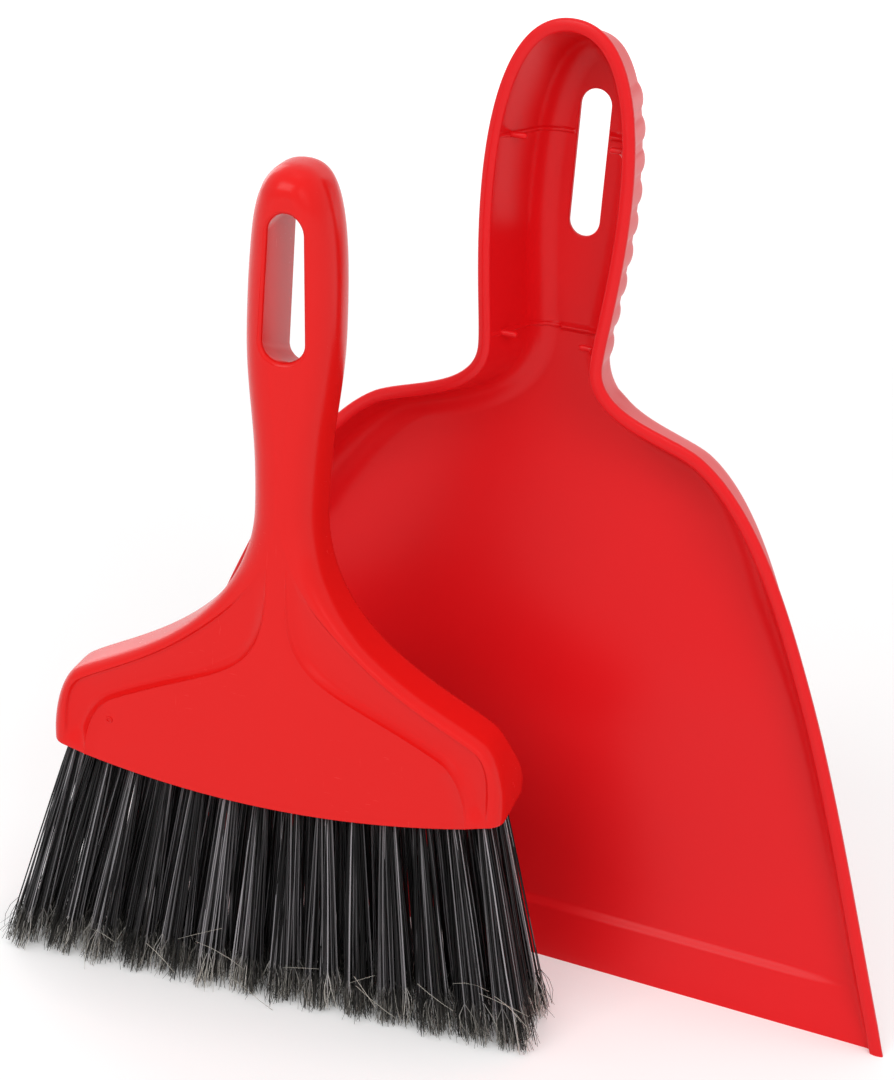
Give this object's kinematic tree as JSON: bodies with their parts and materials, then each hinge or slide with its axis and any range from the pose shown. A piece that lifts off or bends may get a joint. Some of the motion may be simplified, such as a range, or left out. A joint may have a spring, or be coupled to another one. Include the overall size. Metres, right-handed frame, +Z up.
{
  "type": "dustpan and brush",
  "caption": "Wide moulded dustpan standing on its mouth, with a fan-shaped hand brush standing in front of it on stiff dark bristles.",
  "frame": {"origin": "middle of the set's footprint box, on the floor", "axes": "+X along the dustpan's mouth, +Y away from the side that the pan opens to, +Z up"},
  "size_m": [0.3046, 0.1424, 0.3306],
  "materials": {
    "pan_plastic": "glossy moulded polypropylene, bright red",
    "brush_plastic": "glossy moulded polypropylene, bright red",
    "bristle": "charcoal synthetic filament with flagged grey tips",
    "anchor_wire": "plain drawn flat wire"
  },
  "bodies": {
    "dustpan": {"dustpan_shell": "pan_plastic"},
    "brush": {"brush_body": "brush_plastic", "bristles_back": "bristle", "bristles_middle": "bristle", "bristles_front": "bristle", "tuft_anchor_01": "anchor_wire", "tuft_anchor_02": "anchor_wire", "tuft_anchor_03": "anchor_wire", "tuft_anchor_04": "anchor_wire", "tuft_anchor_05": "anchor_wire", "tuft_anchor_06": "anchor_wire", "tuft_anchor_07": "anchor_wire", "tuft_anchor_08": "anchor_wire", "tuft_anchor_09": "anchor_wire", "tuft_anchor_10": "anchor_wire", "tuft_anchor_11": "anchor_wire", "tuft_anchor_12": "anchor_wire", "tuft_anchor_13": "anchor_wire", "tuft_anchor_14": "anchor_wire", "tuft_anchor_15": "anchor_wire", "tuft_anchor_16": "anchor_wire", "tuft_anchor_17": "anchor_wire", "tuft_anchor_18": "anchor_wire", "tuft_anchor_19": "anchor_wire", "tuft_anchor_20": "anchor_wire", "tuft_anchor_21": "anchor_wire", "tuft_anchor_22": "anchor_wire", "tuft_anchor_23": "anchor_wire", "tuft_anchor_24": "anchor_wire", "tuft_anchor_25": "anchor_wire", "tuft_anchor_26": "anchor_wire", "tuft_anchor_27": "anchor_wire", "tuft_anchor_28": "anchor_wire", "tuft_anchor_29": "anchor_wire", "tuft_anchor_30": "anchor_wire", "tuft_anchor_31": "anchor_wire", "tuft_anchor_32": "anchor_wire", "tuft_anchor_33": "anchor_wire", "tuft_anchor_34": "anchor_wire", "tuft_anchor_35": "anchor_wire", "tuft_anchor_36": "anchor_wire", "tuft_anchor_37": "anchor_wire", "tuft_anchor_38": "anchor_wire", "tuft_anchor_39": "anchor_wire", "tuft_anchor_40": "anchor_wire", "tuft_anchor_41": "anchor_wire"}
  },
  "joints": [
    {"name": "brush_lift", "type": "slide", "parent": "dustpan", "child": "brush", "axis": [0, 0, 1], "range_m": [0, 0.35]}
  ]
}
